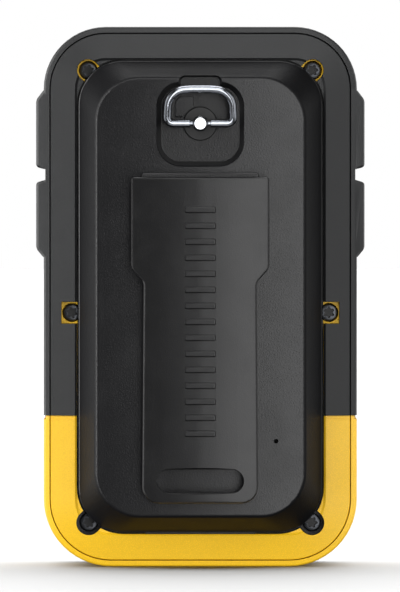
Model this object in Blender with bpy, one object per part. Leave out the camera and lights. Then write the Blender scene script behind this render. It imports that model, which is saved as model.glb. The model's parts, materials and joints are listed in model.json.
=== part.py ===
"""Handheld GPS unit with battery cover, folding ring latch, belt clip and side keys.

The unit stands on its bottom edge: Z runs along its length, the display faces -Y and the
battery cover faces +Y. Lengths below are millimetres and meshes are made in metres.
"""
import math

import bpy
import bmesh
from mathutils import Matrix, Vector

MM = 0.001
ARC = 6                      # straight steps in each quarter round

# Body
LENGTH = 102.0
BODY_HALF = 29.6
CORNER_TOP = 11.75
CORNER_BOTTOM = 12.7
FRONT = -16.5
BACK = 16.5
FRONT_SHELL_END = -11.6
FRONT_WALL = 2.0
LENS = (22.5, 14.0, 90.0, 4.0)       # half width, lower and upper end, corner radius
LENS_FRONT = -16.4
BOARD_FRONT, BOARD_BACK = -11.3, -10.3
SOCKET = (11.9, 18.5, 76.3, 79.7)    # left, right, lower and upper side
BAND_WALL = 1.1
BAND_GAP = 1.4               # inset of the shells that sit inside the band
BAND_FRONT = -11.3
BAND_BACK = 4.4
GREY_FROM = 28.6
YELLOW_TO = 27.85

# Side lobes with their keys
LOBE_OUT = 31.05
LOBE_NOTCH = 29.25
LOWER_LOBE = (58.3, 60.0, 73.0)
UPPER_LOBE = (75.1, 88.3, 90.2)
KEY_HEIGHTS = {"upper": 81.7, "lower": 66.5}
KEY_HALF_Z = 4.3
KEY_FRONT, KEY_BACK = -10.0, -2.5
KEY_INNER = 28.9
STEM_END = 25.3
STEM_FRONT, STEM_BACK, STEM_HALF_Z = -9.6, -7.4, 1.4
FIT = 0.3                    # gap between neighbouring pieces

# Rear shell
REAR_FRONT = -10.0
LEDGE = 3.2
RING_BACK = 5.5
RING_INSET = 6.2
BAY = (15.3, -5.8, 9.0, 66.5)        # half width, floor, lower and upper end
CATCH = (7.5, -1.2, 76.8, 90.8)      # half width, floor, lower and upper end
SCREWS = {"top": (21.2, 93.8), "middle": (24.3, 48.0), "bottom": (21.1, 8.3)}
HEAD_RADIUS = 1.7
HEAD_SEAT, HEAD_TOP = 2.0, 3.0
POCKET_RADIUS = 2.1
SCREW_HOLE = 1.4
BOSS_RADIUS = 2.7
WIDE, CLEAR_OVER = 40.0, 9.0         # reach of the shapes that trim the rear shells

# Battery cover
COVER_HALF = 23.0
COVER_LOW, COVER_HIGH = 6.5, 95.6
COVER_CORNER = 8.5
COVER_UNDER = 3.6
FACE_HALF = 19.5
FACE_LOW, FACE_HIGH = 9.3, 92.5
FACE_CORNER = 7.1
FACE_EDGE = 10.2             # depth of the face along its long edges
FACE_CROWN = 11.0            # depth of the face along its middle
COVER_WALL = 1.9
COVER_INNER = 9.3
HINGE_Y, HINGE_Z = 5.4, 6.2
COVER_GAP = 0.35
TONGUE_HALF, TONGUE_BACK = 10.4, 4.6
TONGUE_LOW, TONGUE_HIGH = 5.5, 7.5
VENT = (-14.25, 23.9)                # x and z of the small hole over the membrane

# Latch
LATCH_Z = 83.7
RECESS_HALF = 8.17
RECESS_FLOOR_HALF = 7.4
RECESS_LOW, RECESS_HIGH = 75.8, 91.4
RECESS_FLOOR = 7.2
PAN_UNDER = 5.9
RING_AXIS_Y = 11.15
RING_WIRE, RING_PIN = 0.675, 0.45
RING_HALF = 6.27
RING_REACH = 6.5
RING_TILT = math.radians(10)
SPINDLE_DISC, SPINDLE_HOLE = 3.2, 1.4

# Belt clip
CLIP_AXIS_Y, CLIP_AXIS_Z = 14.2, 73.0
CLIP_INNER = 14.2
CLIP_WIDE, CLIP_NARROW = 12.95, 10.6
CLIP_TOP, CLIP_TIP = 73.6, 12.4
CLIP_STEP_HIGH, CLIP_STEP_LOW = 56.6, 53.9
CLIP_SLOT = (8.2, 14.4, 18.9, 2.2)   # half width, lower and upper side, corner radius

# Cells
CELL_RADIUS = 7.15
CELL_X = 7.6
CELL_Y = 1.65
CELL_BODY = 49.0
NUB_RADIUS, NUB_TALL = 2.6, 1.3


def clear_scene():
    for item in list(bpy.data.objects):
        bpy.data.objects.remove(item, do_unlink=True)


def material(name, colour, roughness, metallic=0.0):
    found = bpy.data.materials.get(name)
    if found:
        return found
    made = bpy.data.materials.new(name)
    made.use_nodes = True
    shader = made.node_tree.nodes["Principled BSDF"]
    shader.inputs["Base Color"].default_value = (*colour, 1.0)
    shader.inputs["Roughness"].default_value = roughness
    shader.inputs["Metallic"].default_value = metallic
    made.diffuse_color = (*colour, 1.0)
    return made


def grey_plastic():
    return material("grey_plastic", (0.085, 0.085, 0.09), 0.5)


def dark_plastic():
    return material("dark_plastic", (0.02, 0.02, 0.022), 0.45)


def yellow_plastic():
    return material("yellow_plastic", (0.85, 0.56, 0.07), 0.45)


def black_rubber():
    return material("black_rubber", (0.015, 0.015, 0.015), 0.8)


def bright_steel():
    return material("bright_steel", (0.75, 0.76, 0.78), 0.2, 1.0)


def dark_steel():
    return material("dark_steel", (0.2, 0.2, 0.21), 0.35, 1.0)


# Outlines: lists of (x, z) points

def rounded_outline(half, low, high, radius_low, radius_high):
    corners = (
        (half - radius_low, low + radius_low, radius_low, -90),
        (half - radius_high, high - radius_high, radius_high, 0),
        (radius_high - half, high - radius_high, radius_high, 90),
        (radius_low - half, low + radius_low, radius_low, 180),
    )
    points = []
    for x, z, radius, start in corners:
        for step in range(ARC + 1):
            angle = math.radians(start + 90 * step / ARC)
            points.append((x + radius * math.cos(angle), z + radius * math.sin(angle)))
    return points


def body_outline(inset):
    return rounded_outline(BODY_HALF - inset, inset, LENGTH - inset,
                           CORNER_BOTTOM - inset, CORNER_TOP - inset)


def cover_outline(inset):
    return rounded_outline(COVER_HALF - inset, COVER_LOW + inset, COVER_HIGH - inset,
                           COVER_CORNER - inset, COVER_CORNER - inset)


def face_outline(inset):
    return rounded_outline(FACE_HALF - inset, FACE_LOW + inset, FACE_HIGH - inset,
                           FACE_CORNER - inset, FACE_CORNER - inset)


def band_outline(inset):
    """The body outline with two key lobes and the notch between them on each side."""
    start, low, notch_low = LOWER_LOBE
    notch_high, high, end = UPPER_LOBE
    side = [(BODY_HALF, start), (LOBE_OUT, low), (LOBE_OUT, notch_low), (LOBE_NOTCH, notch_low),
            (LOBE_NOTCH, notch_high), (LOBE_OUT, notch_high), (LOBE_OUT, high), (BODY_HALF, end)]
    side = [(x - inset, z) for x, z in side]
    round_points = body_outline(inset)
    quarter = ARC + 1
    right = round_points[:quarter] + side + round_points[quarter:2 * quarter]
    left = round_points[2 * quarter:3 * quarter]
    left += [(-x, z) for x, z in reversed(side)] + round_points[3 * quarter:]
    return right + left


# Solids

def loft(sections):
    """A closed solid through outlines of equal count, each an (outline, y) pair."""
    bm = bmesh.new()
    loops = [[bm.verts.new((x, y, z)) for x, z in outline] for outline, y in sections]
    for near, far in zip(loops, loops[1:]):
        for i in range(len(near)):
            j = (i + 1) % len(near)
            bm.faces.new((near[i], near[j], far[j], far[i]))
    bm.faces.new(loops[0])
    bm.faces.new(loops[-1])
    bmesh.ops.recalc_face_normals(bm, faces=bm.faces[:])
    return bm


def prism(outline, y0, y1):
    return loft([(outline, y0), (outline, y1)])


def block(x0, x1, y0, y1, z0, z1):
    return prism([(x0, z0), (x1, z0), (x1, z1), (x0, z1)], y0, y1)


def side_profile(points, half):
    """A (y, z) outline extruded along X, symmetric about the middle."""
    bm = bmesh.new()
    face = bm.faces.new([bm.verts.new((-half, y, z)) for y, z in points])
    side = bmesh.ops.extrude_face_region(bm, geom=[face])["geom"]
    moved = [item for item in side if isinstance(item, bmesh.types.BMVert)]
    bmesh.ops.translate(bm, vec=(2 * half, 0, 0), verts=moved)
    bmesh.ops.recalc_face_normals(bm, faces=bm.faces[:])
    return bm


TURN = {
    "X": Matrix.Rotation(math.radians(90), 4, "Y"),
    "Y": Matrix.Rotation(math.radians(-90), 4, "X"),
    "Z": Matrix.Identity(4),
}


def rod(axis, centre, radius, start, end, sides=20):
    """A round rod along an axis, from start to end on it; centre gives the other two places."""
    place = Vector(centre)
    place["XYZ".index(axis)] = (start + end) / 2
    bm = bmesh.new()
    bmesh.ops.create_cone(bm, cap_ends=True, segments=sides, radius1=radius, radius2=radius,
                          depth=abs(end - start), matrix=Matrix.Translation(place) @ TURN[axis])
    bmesh.ops.recalc_face_normals(bm, faces=bm.faces[:])
    return bm


def tube_path(points, radius, sides=8):
    """A round wire through the points, square to its run at each of them."""
    bm = bmesh.new()
    loops = []
    side = None
    for i, point in enumerate(points):
        ahead = (points[min(i + 1, len(points) - 1)] - points[max(i - 1, 0)]).normalized()
        side = (side - ahead * side.dot(ahead)).normalized() if side else ahead.orthogonal()
        side.normalize()
        up = ahead.cross(side)
        angles = [2 * math.pi * k / sides for k in range(sides)]
        loops.append([bm.verts.new(point + radius * (side * math.cos(a) + up * math.sin(a)))
                      for a in angles])
    for near, far in zip(loops, loops[1:]):
        for k in range(sides):
            n = (k + 1) % sides
            bm.faces.new((near[k], near[n], far[n], far[k]))
    bm.faces.new(loops[0])
    bm.faces.new(loops[-1])
    bmesh.ops.recalc_face_normals(bm, faces=bm.faces[:])
    return bm


# Objects

def add(name, bm, finish, origin=(0, 0, 0)):
    """Make an object from millimetre geometry, with its origin at the given point."""
    bmesh.ops.translate(bm, vec=-Vector(origin), verts=bm.verts[:])
    bmesh.ops.scale(bm, vec=(MM, MM, MM), verts=bm.verts[:])
    mesh = bpy.data.meshes.new(name)
    bm.to_mesh(mesh)
    bm.free()
    mesh.shade_smooth()
    mesh.set_sharp_from_angle(angle=math.radians(30))
    made = bpy.data.objects.new(name, mesh)
    made.location = Vector(origin) * MM
    made.data.materials.append(finish)
    bpy.context.scene.collection.objects.link(made)
    return made


def tool(bm):
    """A hidden shape that cuts or joins a piece."""
    made = add("tool", bm, dark_plastic())
    made.hide_render = True
    made.display_type = "WIRE"
    return made


def shape(target, operation, *others):
    """Cut or join the target with each of the other shapes, in order."""
    for other in others:
        helper = other if isinstance(other, bpy.types.Object) else tool(other)
        step = target.modifiers.new(operation.lower(), "BOOLEAN")
        step.operation = operation
        step.solver = "EXACT"
        step.object = helper
    return target


def cut(target, *others):
    return shape(target, "DIFFERENCE", *others)


def join(target, *others):
    return shape(target, "UNION", *others)


def screw_places():
    for level, (x, z) in SCREWS.items():
        for side, sign in (("left", -1), ("right", 1)):
            yield f"{level}_{side}", sign * x, z


def key_places():
    for level, z in KEY_HEIGHTS.items():
        for side, sign in (("left", -1), ("right", 1)):
            yield f"{level}_{side}", sign, z


def mirrored_block(sign, x0, x1, y0, y1, z0, z1):
    near, far = sorted((sign * x0, sign * x1))
    return block(near, far, y0, y1, z0, z1)


# Case

def front_housing():
    room_floor, room_mouth = -13.9, -11.0
    pocket_floor = LENS_FRONT + 1.7
    shell = loft([(body_outline(1.6), FRONT), (body_outline(0.5), FRONT + 0.6),
                  (body_outline(0.0), FRONT + 1.8), (body_outline(0.0), FRONT_SHELL_END)])
    made = add("front_housing", shell, dark_plastic())
    room = tool(prism(body_outline(FRONT_WALL), room_floor, room_mouth))
    for name, x, z in screw_places():
        cut(room, rod("Y", (x, 0, z), BOSS_RADIUS - 0.1, room_floor - 0.6, room_mouth + 0.5))
    cut(made, room)
    cut(made, prism(lens_outline(-FIT), FRONT - 0.5, pocket_floor))
    cut(made, prism(rounded_outline(19.0, 22.0, 82.0, 2.0, 2.0), pocket_floor - 0.3,
                    room_floor + 0.4))
    for name, x, z in screw_places():
        cut(made, rod("Y", (x, 0, z), SCREW_HOLE, room_floor + FIT, room_mouth))


def lens_outline(inset):
    half, low, high, corner = LENS
    return rounded_outline(half - inset, low + inset, high - inset, corner - inset, corner - inset)


def display_parts():
    lens_back = LENS_FRONT + 0.9
    screen_half, screen_front, screen_back = 18.4, -13.6, -12.4
    screen_low, screen_high = 24.0, 80.4
    add("display_lens", prism(lens_outline(0.0), LENS_FRONT, lens_back),
        material("lens_glass", (0.02, 0.02, 0.025), 0.08))
    gasket = prism(lens_outline(FIT), lens_back + 0.2, lens_back + 0.55)
    gasket_hole = prism(rounded_outline(19.6, 21.4, 82.6, 2.0, 2.0), LENS_FRONT, lens_back + 1.5)
    cut(add("lens_gasket", gasket, black_rubber()), gasket_hole)
    screen = block(-screen_half, screen_half, screen_front, screen_back, screen_low, screen_high)
    add("display_module", screen, material("display_glass", (0.16, 0.19, 0.17), 0.15))
    frame_front = screen_back + FIT
    frame = add("display_frame", block(-18.8, 18.8, frame_front, frame_front + 0.5, 24.6, 80.8),
                dark_steel())
    cut(frame, block(-15.0, 15.0, frame_front - 1, frame_front + 1, 30.0, 75.0))
    ribbon_thick, ribbon_fold, ribbon_half = 0.3, 19.0, 8.0
    ribbon_end, far_side = screen_low - FIT, -11.6
    near_side = screen_front + 0.4
    ribbon = side_profile([(near_side, ribbon_end), (near_side, ribbon_fold),
                           (far_side, ribbon_fold), (far_side, ribbon_end),
                           (far_side - ribbon_thick, ribbon_end),
                           (far_side - ribbon_thick, ribbon_fold + ribbon_thick),
                           (near_side + ribbon_thick, ribbon_fold + ribbon_thick),
                           (near_side + ribbon_thick, ribbon_end)], ribbon_half)
    add("display_ribbon", ribbon, material("ribbon_film", (0.5, 0.24, 0.05), 0.4))


def main_board():
    board = add("main_board", prism(body_outline(3.6), BOARD_FRONT, BOARD_BACK),
                material("board_laminate", (0.02, 0.12, 0.05), 0.5))
    for name, x, z in screw_places():
        cut(board, rod("Y", (x, 0, z), SCREW_HOLE + FIT, BOARD_FRONT - 0.7, BOARD_BACK + 0.8))
    mounted = BOARD_BACK + FIT               # where the pieces on the board start
    can_half, can_low, can_high, can_tall, can_wall = 14.0, 38.0, 64.0, 2.6, 0.5
    can = add("shield_can", block(-can_half, can_half, mounted, mounted + can_tall,
                                  can_low, can_high), bright_steel())
    cut(can, block(can_wall - can_half, can_half - can_wall, mounted - 0.5,
                   mounted + can_tall - can_wall, can_low + can_wall, can_high - can_wall))
    patch_half, patch_low, patch_tall = 9.0, 76.5, 4.0
    add("patch_antenna", block(-patch_half, patch_half, mounted, mounted + patch_tall,
                               patch_low, patch_low + 2 * patch_half),
        material("antenna_ceramic", (0.55, 0.5, 0.42), 0.6))
    buzzer_z, buzzer_top = 24.0, mounted + 2.6
    buzzer = rod("Y", (0, 0, buzzer_z), 5.0, mounted, buzzer_top, 24)
    cut(add("buzzer", buzzer, dark_plastic()),
        rod("Y", (0, 0, buzzer_z), 0.8, buzzer_top - 0.8, buzzer_top + 0.4, 12))
    left, right, low, high = SOCKET
    wall, mouth = 0.4, 0.9
    socket = add("usb_socket", block(left, right, mounted, mouth, low, high), bright_steel())
    cut(socket, block(left + wall, right - wall, mounted + 4.0, mouth + 1, low + wall,
                      high - wall))


def rear_housing():
    shell = loft([(body_outline(BAND_GAP), REAR_FRONT), (body_outline(BAND_GAP), BAND_BACK),
                  (body_outline(RING_INSET), RING_BACK)])
    made = add("rear_housing", shell, yellow_plastic())
    half, floor, low, high = BAY
    catch_half, catch_floor, catch_low, catch_high = CATCH
    wall, room_roof, clear = 1.4, 1.5, 2.5
    room = tool(prism(body_outline(3.2), REAR_FRONT - 0.6, room_roof))
    cut(room, block(-half - 1.6, half + 1.6, floor - 1.2, clear, low - 1.8, high + 1.7))
    cut(room, block(-catch_half - wall, catch_half + wall, catch_floor - 1.3, clear,
                    catch_low - wall, catch_high + wall))
    for name, x, z in screw_places():
        cut(room, rod("Y", (x, 0, z), BOSS_RADIUS, REAR_FRONT - 1, clear))
    cut(made, room)
    cut(made, block(-WIDE, WIDE, LEDGE, CLEAR_OVER, YELLOW_TO, 120))
    cut(made, prism(cover_outline(-COVER_GAP), LEDGE, CLEAR_OVER))
    cut(made, block(-half, half, floor, 6, low, high))
    cut(made, block(-catch_half, catch_half, catch_floor, 6, catch_low, catch_high))
    left, right, socket_low, socket_high = SOCKET
    reach = 0.4
    cut(made, block(left - reach, right + reach, 0.5, 6, socket_low - reach, socket_high + reach))
    groove_floor = LEDGE - 0.9
    groove = tool(prism(cover_outline(1.5), groove_floor, LEDGE + 0.8))
    cut(groove, prism(cover_outline(2.9), groove_floor - 0.3, LEDGE + 1.8))
    cut(made, groove)
    cut(made, block(-TONGUE_HALF - 0.5, TONGUE_HALF + 0.5, LEDGE, TONGUE_BACK + FIT,
                    TONGUE_LOW - FIT, TONGUE_HIGH - 0.5))
    for name, x, z in screw_places():
        cut(made, rod("Y", (x, 0, z), POCKET_RADIUS, HEAD_SEAT - FIT, CLEAR_OVER))
        cut(made, rod("Y", (x, 0, z), SCREW_HOLE, REAR_FRONT - 1, HEAD_SEAT + 1))
    for name, sign, z in key_places():
        hole = STEM_HALF_Z + 0.4
        cut(made, mirrored_block(sign, STEM_END + 0.2, BODY_HALF - 0.1, REAR_FRONT - 0.5,
                                 STEM_BACK + FIT, z - hole, z + hole))


def rear_overlay():
    plate = loft([(body_outline(BAND_GAP), LEDGE + FIT), (body_outline(BAND_GAP), BAND_BACK),
                  (body_outline(RING_INSET), RING_BACK)])
    made = add("rear_overlay", plate, grey_plastic())
    below = LEDGE - 1
    cut(made, prism(cover_outline(-COVER_GAP), below, CLEAR_OVER))
    cut(made, block(-WIDE, WIDE, below, CLEAR_OVER, -5, GREY_FROM))
    pocket_half, pocket_inner, pocket_outer = 2.05, 22.5, 26.3
    for name, x, z in screw_places():
        if name.startswith("top"):
            cut(made, rod("Y", (x, 0, z), POCKET_RADIUS, below, CLEAR_OVER))
        if name.startswith("middle"):
            sign = math.copysign(1, x)
            cut(made, mirrored_block(sign, pocket_inner, abs(x), below, CLEAR_OVER,
                                     z - pocket_half, z + pocket_half))
            cut(made, mirrored_block(sign, abs(x), pocket_outer, below, CLEAR_OVER,
                                     z - pocket_half, z + pocket_half))


def bands():
    ahead, behind = BAND_FRONT - 2.7, BAND_BACK + 3.6

    def ring(name, finish, away):
        made = add(name, loft([(band_outline(0.0), BAND_FRONT), (band_outline(0.0), BAND_BACK - 0.9),
                               (band_outline(0.8), BAND_BACK)]), finish)
        cut(made, prism(body_outline(BAND_WALL), ahead, behind))
        return cut(made, away)

    upper = ring("side_band", grey_plastic(), block(-WIDE, WIDE, ahead, behind, -5, GREY_FROM))
    ring("lower_band", yellow_plastic(), block(-WIDE, WIDE, ahead, behind, YELLOW_TO, 120))
    for name, sign, z in key_places():
        cut(upper, mirrored_block(sign, LOBE_OUT - 4, LOBE_OUT + 2, KEY_FRONT - FIT,
                                  KEY_BACK + FIT, z - KEY_HALF_Z - FIT, z + KEY_HALF_Z + FIT))


def keys():
    switch_inner, switch_outer, switch_half, edge = 20.6, 24.5, 1.9, 0.5
    for name, sign, z in key_places():
        middle = (KEY_FRONT + KEY_BACK) / 2
        origin = (sign * LOBE_OUT, middle, z)
        cap = mirrored_block(sign, KEY_INNER, LOBE_OUT, KEY_FRONT, KEY_BACK,
                             z - KEY_HALF_Z, z + KEY_HALF_Z)
        bmesh.ops.bevel(cap, geom=[e for e in cap.edges
                                   if all(abs(v.co.x) > LOBE_OUT - 0.1 for v in e.verts)],
                        offset=edge, segments=1, affect="EDGES", profile=0.5)
        made = add(f"key_{name}", cap, dark_plastic(), origin)
        join(made, mirrored_block(sign, STEM_END, KEY_INNER + 0.5, STEM_FRONT, STEM_BACK,
                                  z - STEM_HALF_Z, z + STEM_HALF_Z))
        switch = mirrored_block(sign, switch_inner, switch_outer, BOARD_BACK + FIT, STEM_BACK,
                                z - switch_half, z + switch_half)
        add(f"switch_{name}", switch, dark_steel())


def screws():
    shank, shank_end, driver, driver_floor = 1.1, -13.2, 0.95, 2.4
    for name, x, z in screw_places():
        made = add(f"screw_{name}", rod("Y", (x, 0, z), HEAD_RADIUS, HEAD_SEAT, HEAD_TOP, 18),
                   dark_steel())
        join(made, rod("Y", (x, 0, z), shank, shank_end, HEAD_SEAT + 0.5, 12))
        cut(made, rod("Y", (x, 0, z), driver, driver_floor, HEAD_TOP + 1, 6))


def seals():
    seal = add("housing_seal", prism(body_outline(1.6), BOARD_FRONT, BOARD_BACK), black_rubber())
    cut(seal, prism(body_outline(2.8), BOARD_FRONT - 0.7, BOARD_BACK + 1.3))
    gasket_front, gasket_back = LEDGE - 0.6, LEDGE + 0.1
    gasket = add("cover_gasket", prism(cover_outline(1.75), gasket_front, gasket_back),
                 black_rubber())
    cut(gasket, prism(cover_outline(2.65), gasket_front - 0.6, gasket_back + 0.7))


# Cells and their contacts

def cells():
    jacket = material("cell_jacket", (0.05, 0.13, 0.09), 0.35)
    for name, x, low, nub_up in (("right", CELL_X, 14.9, True), ("left", -CELL_X, 11.6, False)):
        body = rod("Z", (x, CELL_Y, 0), CELL_RADIUS, low, low + CELL_BODY, 28)
        made = add(f"cell_{name}", body, jacket)
        end, tip = (low + CELL_BODY, NUB_TALL) if nub_up else (low, -NUB_TALL)
        join(made, rod("Z", (x, CELL_Y, 0), NUB_RADIUS, end - tip / 2, end + tip, 16))


def coil(x, start, end):
    turns, steps, wide, narrow, wire = 3, 14, 4.6, 2.4, 0.35
    points = []
    for i in range(turns * steps + 1):
        part = i / (turns * steps)
        angle = 2 * math.pi * turns * part
        radius = wide + (narrow - wide) * part
        points.append(Vector((x + radius * math.cos(angle), CELL_Y + radius * math.sin(angle),
                              start + (end - start) * part)))
    return tube_path(points, wire, 6)


def contacts():
    half, floor, low, high = BAY
    sheet, seated = 0.4, floor + 1.0
    bridge_half, plate_inner, plate_outer = 14.2, 1.2, 14.0
    bridge_back, plate_back = 6.0, 8.0
    add("contact_bridge", block(-bridge_half, bridge_half, seated, bridge_back, low + FIT,
                                low + FIT + sheet), bright_steel())
    for name, sign in (("positive", 1), ("negative", -1)):
        add(f"contact_{name}", mirrored_block(sign, plate_inner, plate_outer, seated, plate_back,
                                              high - FIT - 0.5, high - FIT), bright_steel())
    add("spring_lower", coil(CELL_X, low + 1.4, 14.2), bright_steel())
    add("spring_upper", coil(-CELL_X, high - 1.5, 61.3), bright_steel())


# Battery cover and latch

def crown_tool():
    """Everything above the cover's crowned face."""
    rise = FACE_CROWN - FACE_EDGE
    crown_radius = (FACE_HALF ** 2 + rise ** 2) / (2 * rise)
    steps, reach, over = 12, 25.0, 20.0
    under = []
    for i in range(steps + 1):
        x = reach * (2 * i / steps - 1)
        under.append((x, FACE_CROWN - crown_radius + math.sqrt(crown_radius ** 2 - x ** 2)))
    bm = bmesh.new()
    outline = under + [(reach, over), (-reach, over)]
    face = bm.faces.new([bm.verts.new((x, y, 0)) for x, y in outline])
    side = bmesh.ops.extrude_face_region(bm, geom=[face])["geom"]
    moved = [item for item in side if isinstance(item, bmesh.types.BMVert)]
    bmesh.ops.translate(bm, vec=(0, 0, LENGTH + 8), verts=moved)
    bmesh.ops.recalc_face_normals(bm, faces=bm.faces[:])
    return bm


def battery_cover():
    slope = (COVER_HALF - FACE_HALF) / (FACE_EDGE - RING_BACK)
    above = 0.9
    shell = loft([(cover_outline(0.0), COVER_UNDER), (cover_outline(0.0), RING_BACK),
                  (face_outline(0.0), FACE_EDGE), (face_outline(slope * above), FACE_EDGE + above)])
    hinge = (0, HINGE_Y, HINGE_Z)
    made = add("battery_cover", shell, grey_plastic(), hinge)
    cut(made, crown_tool())
    cut(made, loft([(cover_outline(COVER_WALL), COVER_UNDER - 0.6),
                    (cover_outline(COVER_WALL), COVER_UNDER + 1.4),
                    (face_outline(1.2), COVER_INNER)]))
    pan = rounded_outline(RECESS_HALF + 1.5, RECESS_LOW - 1.6, RECESS_HIGH + 1.2, 5.5, 5.0)
    join(made, prism(pan, PAN_UNDER, COVER_INNER + 0.4))
    wall = RECESS_HALF - RECESS_FLOOR_HALF
    mouth = rounded_outline(RECESS_HALF, RECESS_LOW, RECESS_HIGH, 4.5, 4.5)
    floor = rounded_outline(RECESS_FLOOR_HALF, RECESS_LOW + wall, RECESS_HIGH - wall, 3.8, 3.8)
    cut(made, loft([(floor, RECESS_FLOOR), (mouth, FACE_CROWN), (mouth, FACE_CROWN + 1)]))
    notch_half, notch_floor, notch_high = 4.1, 8.4, 92.9
    cut(made, block(-notch_half, notch_half, notch_floor, FACE_CROWN + 2, 89, notch_high))
    pad = tool(block(1.2, 4.7, RECESS_FLOOR - 0.3, 8.6, 85.0, 88.8))
    cut(pad, rod("Y", (0, 0, LATCH_Z), SPINDLE_DISC + 0.4, 5, 10, 24))
    join(made, pad)
    through = PAN_UNDER - 0.9
    dimple_x, dimple_rise, dimple_radius = -4.8, 4.7, 1.35
    cut(made, rod("Y", (dimple_x, 0, LATCH_Z + dimple_rise), dimple_radius, RECESS_FLOOR - 0.5,
                  9, 16))
    cut(made, rod("Y", (0, 0, LATCH_Z), SPINDLE_HOLE, through, 9, 16))
    vent_x, vent_z = VENT
    cut(made, rod("Y", (vent_x, 0, vent_z), 0.4, COVER_INNER - 1.3, FACE_CROWN + 1, 10))
    join(made, block(-TONGUE_HALF, TONGUE_HALF, COVER_UNDER, TONGUE_BACK, TONGUE_LOW,
                     TONGUE_HIGH))
    vent = rod("Y", (vent_x, 0, vent_z), 2.4, COVER_INNER - 0.7, COVER_INNER - FIT, 18)
    add("vent_membrane", vent, material("vent_film", (0.8, 0.8, 0.8), 0.7), hinge)


def latch():
    axis = (0, RECESS_FLOOR, LATCH_Z)
    disc_front, disc_back = RECESS_FLOOR + FIT, RECESS_FLOOR + 0.9
    shaft, shaft_end, head, head_top = 1.1, -0.6, 1.5, 12.5
    spindle = add("latch_spindle", rod("Y", axis, SPINDLE_DISC, disc_front, disc_back, 28),
                  dark_steel(), axis)
    join(spindle, rod("Y", axis, head, disc_back - 0.1, head_top, 18),
         rod("Y", axis, shaft, shaft_end, disc_front + 0.4, 14))
    cut(spindle, rod("X", (0, RING_AXIS_Y, LATCH_Z), RING_PIN + FIT, -3, 3, 12))
    bar_half, bar_half_z, bar_front, bar_back = 5.4, 1.9, -0.3, 1.3
    bar = add("latch_cross_bar", block(-bar_half, bar_half, bar_front, bar_back,
                                       LATCH_Z - bar_half_z, LATCH_Z + bar_half_z),
              dark_steel(), axis)
    cut(bar, rod("Y", axis, SPINDLE_HOLE, bar_front - 1.7, bar_back + 1.7, 14))
    clip_front, clip_back = 4.0, 4.5
    clip = add("latch_retainer", rod("Y", axis, 2.7, clip_front, clip_back, 18), bright_steel(),
               axis)
    cut(clip, rod("Y", axis, SPINDLE_HOLE, clip_front - 1, clip_back + 1.5, 14))
    add("latch_o_ring", o_ring(1.75, 0.35, 5.2), black_rubber(), axis)


def o_ring(radius, wire, y):
    """A seal ring about the latch's axis."""
    bm = bmesh.new()
    sides = 8
    angles = [2 * math.pi * k / sides for k in range(sides)]
    start = [bm.verts.new((radius + wire * math.cos(a), y + wire * math.sin(a), 0))
             for a in angles]
    profile = [bm.edges.new((start[k], start[(k + 1) % sides])) for k in range(sides)]
    bmesh.ops.spin(bm, geom=start + profile, cent=(0, 0, 0), axis=(0, 1, 0),
                   angle=2 * math.pi, steps=20, use_merge=True)
    bmesh.ops.translate(bm, vec=(0, 0, LATCH_Z), verts=bm.verts[:])
    bmesh.ops.recalc_face_normals(bm, faces=bm.faces[:])
    return bm


def latch_ring():
    """The D shaped wire, tilted up from the recess about its base bar."""
    low_bend, high_bend, steps = 1.3, 2.9, 4
    half, reach = RING_HALF, RING_REACH
    flat = [(1.0, 0.0), (2.2, 0.0)]
    for centre, radius, start in (((half - low_bend, low_bend), low_bend, -90),
                                  ((half - high_bend, reach - high_bend), high_bend, 0)):
        for step in range(steps + 1):
            angle = math.radians(start + 90 * step / steps)
            flat.append((centre[0] + radius * math.cos(angle), centre[1] + radius * math.sin(angle)))
    flat += [(-x, z) for x, z in reversed(flat)]
    tilt = Matrix.Rotation(-RING_TILT, 3, "X")
    origin = Vector((0, RING_AXIS_Y, LATCH_Z))
    points = [origin + tilt @ Vector((x, 0, z)) for x, z in flat]
    bm = tube_path(points, RING_WIRE, 10)
    made = add("latch_ring", bm, material("chrome", (0.85, 0.86, 0.88), 0.08, 1.0), origin)
    trim = tool(rod("X", (0, RING_AXIS_Y, LATCH_Z), 2.0, -2.0, 2.0, 16))
    cut(trim, rod("X", (0, RING_AXIS_Y, LATCH_Z), RING_PIN, -3.0, 3.0, 10))
    cut(made, trim)


# Belt clip

def clip_parts():
    mount_half, mount_low, mount_high = 11.0, 60.0, 74.4
    mount = block(-mount_half, mount_half, FACE_CROWN + FIT, CLIP_INNER - FIT, mount_low,
                  mount_high)
    add("clip_mount", mount, grey_plastic())
    origin = (0, CLIP_AXIS_Y, CLIP_AXIS_Z)
    corner, steps = 3.2, 4
    half = [(CLIP_WIDE, CLIP_TOP), (CLIP_WIDE, CLIP_STEP_HIGH), (CLIP_NARROW, CLIP_STEP_LOW)]
    for step in range(steps + 1):
        angle = math.radians(-90 * step / steps)
        half.append((CLIP_NARROW - corner + corner * math.cos(angle),
                     CLIP_TIP + corner + corner * math.sin(angle)))
    outline = half + [(-x, z) for x, z in reversed(half)]
    rim = [(x * 0.96, z + (0.5 if z < CLIP_STEP_LOW else 0.0)) for x, z in outline]
    arm = add("belt_clip", loft([(outline, CLIP_INNER), (outline, BACK - 0.7), (rim, BACK)]),
              grey_plastic(), origin)
    slot_half, slot_low, slot_high, slot_corner = CLIP_SLOT
    cut(arm, prism(rounded_outline(slot_half, slot_low, slot_high, slot_corner, slot_corner),
                   CLIP_INNER - 4, BACK + 3))
    tip_half, tip_front = 7.0, 11.9
    join(arm, block(-tip_half, tip_half, tip_front, CLIP_INNER + 0.5, CLIP_TIP + 0.3,
                    CLIP_TIP + 1.5))


def main():
    clear_scene()
    front_housing()
    display_parts()
    main_board()
    rear_housing()
    rear_overlay()
    bands()
    keys()
    screws()
    seals()
    cells()
    contacts()
    battery_cover()
    latch()
    latch_ring()
    clip_parts()


main()
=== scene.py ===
import json
import math

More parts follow.
